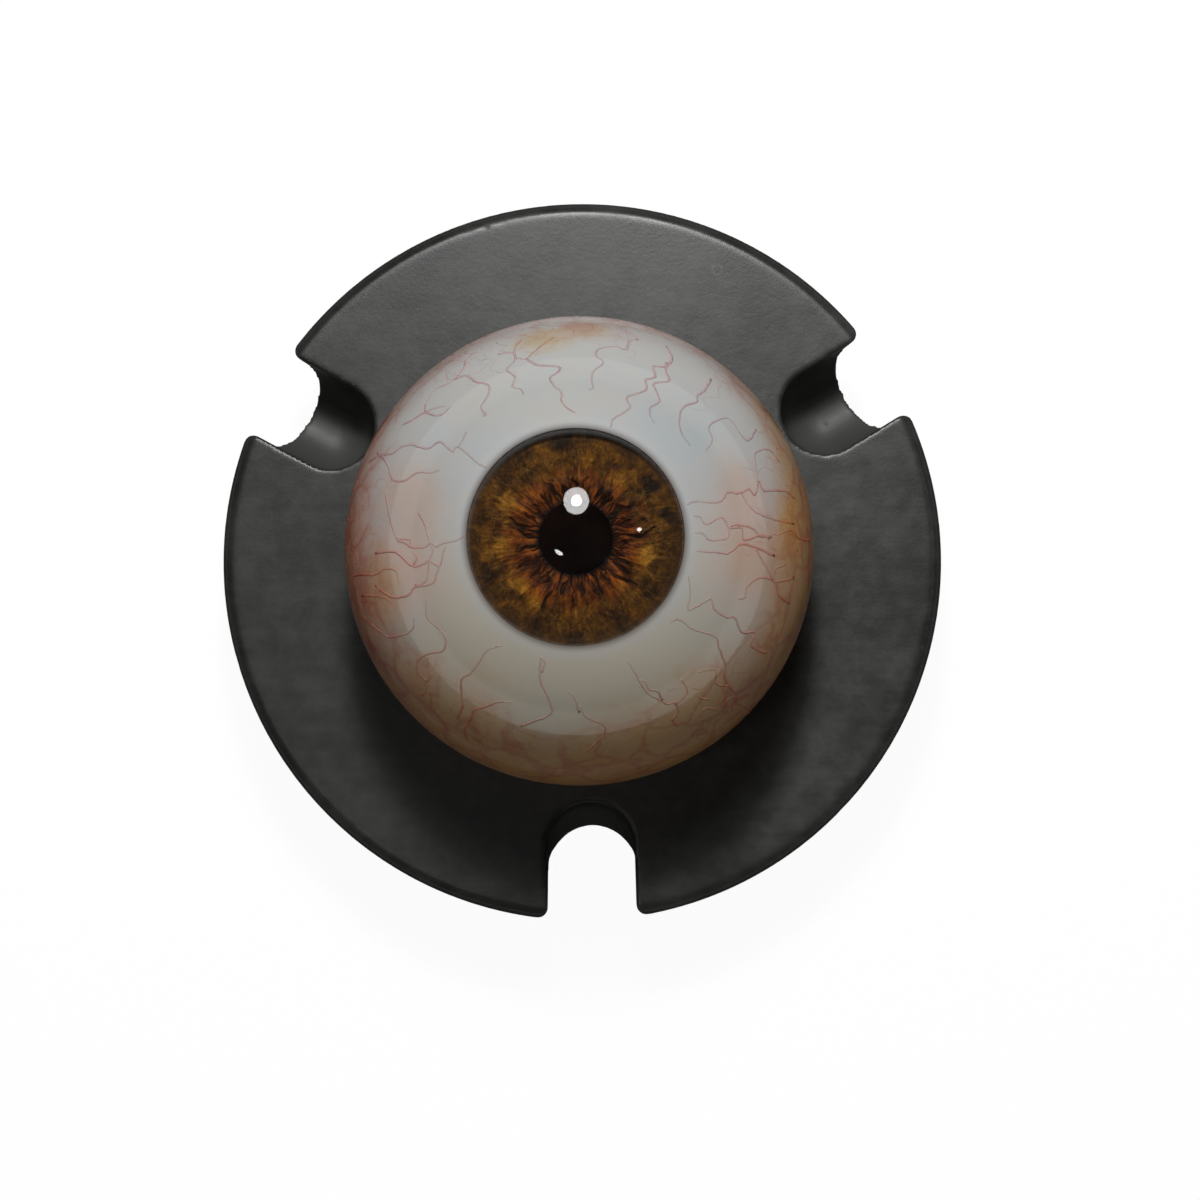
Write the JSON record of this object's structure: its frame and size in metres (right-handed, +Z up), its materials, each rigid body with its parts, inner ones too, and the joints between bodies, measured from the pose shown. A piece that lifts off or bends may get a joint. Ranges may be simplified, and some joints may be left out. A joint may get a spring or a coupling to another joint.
{
  "type": "eye anatomy model",
  "caption": "Enlarged eyeball with a clear cornea and brown iris that opens to its inner layers, resting in the cup of a round grooved stand.",
  "frame": {"origin": "middle of the flat face that the stand rests on, on the axis of the stand and the eyeball", "axes": "+Z up and along the gaze at rest, -Y towards the slot that is cut right through the stand, +X to the right of it as seen in the picture"},
  "size_m": [0.114, 0.1136, 0.0847],
  "materials": {
    "stand": "matt, faintly mottled dark grey",
    "ballast": "plain turned steel",
    "cover": "matt black",
    "screws": "plain steel",
    "pad": "matt non-slip",
    "seat": "soft matt",
    "sclera": "glossy clear coat over white with red veins",
    "choroid": "satin red-brown",
    "retina": "satin orange",
    "nerve_sheath": "satin cream",
    "nerve": "satin yellow",
    "artery": "glossy red",
    "vein": "glossy blue",
    "pins": "plain steel",
    "vitreous": "clear",
    "lens": "clear, faintly yellow",
    "ciliary": "satin dark brown",
    "zonule": "pale translucent",
    "iris": "folded brown with an orange inner zone",
    "cornea": "clear and polished"
  },
  "bodies": {
    "stand": {"base_body": "stand", "ballast_ring": "ballast", "bottom_cover": "cover", "cover_screws": "screws", "foot_pad": "pad"},
    "seat": {"seat_ring": "seat"},
    "eye_rear": {"sclera_rear": "sclera", "choroid_rear": "choroid", "retina_rear": "retina", "nerve_sheath": "nerve_sheath", "optic_nerve": "nerve", "central_artery": "artery", "central_vein": "vein", "locating_pins": "pins"},
    "vitreous": {"vitreous_body": "vitreous"},
    "eye_lens": {"lens": "lens"},
    "eye_front": {"sclera_front": "sclera", "choroid_front": "choroid", "retina_front": "retina", "ciliary_body": "ciliary", "zonule": "zonule", "iris": "iris", "cornea": "cornea"}
  },
  "joints": [
    {"name": "eye_turn", "type": "hinge", "parent": "stand", "child": "seat", "pos_m": [0, 0, 0.046], "axis": [0, 0, 1], "continuous": true},
    {"name": "eye_tilt", "type": "hinge", "parent": "seat", "child": "eye_rear", "pos_m": [0, 0, 0.046], "axis": [1, 0, 0], "range_deg": [-15, 15]},
    {"name": "front_lift", "type": "slide", "parent": "eye_rear", "child": "eye_front", "axis": [0, 0, 1], "range_m": [0, 0.1]},
    {"name": "lens_lift", "type": "slide", "parent": "eye_rear", "child": "eye_lens", "axis": [0, 0, 1], "range_m": [0, 0.06]},
    {"name": "vitreous_lift", "type": "slide", "parent": "eye_rear", "child": "vitreous", "axis": [0, 0, 1], "range_m": [0, 0.03]}
  ],
  "couplings": [
    {"joint": "lens_lift", "follows": "front_lift", "ratio": 0.6},
    {"joint": "vitreous_lift", "follows": "front_lift", "ratio": 0.3}
  ]
}
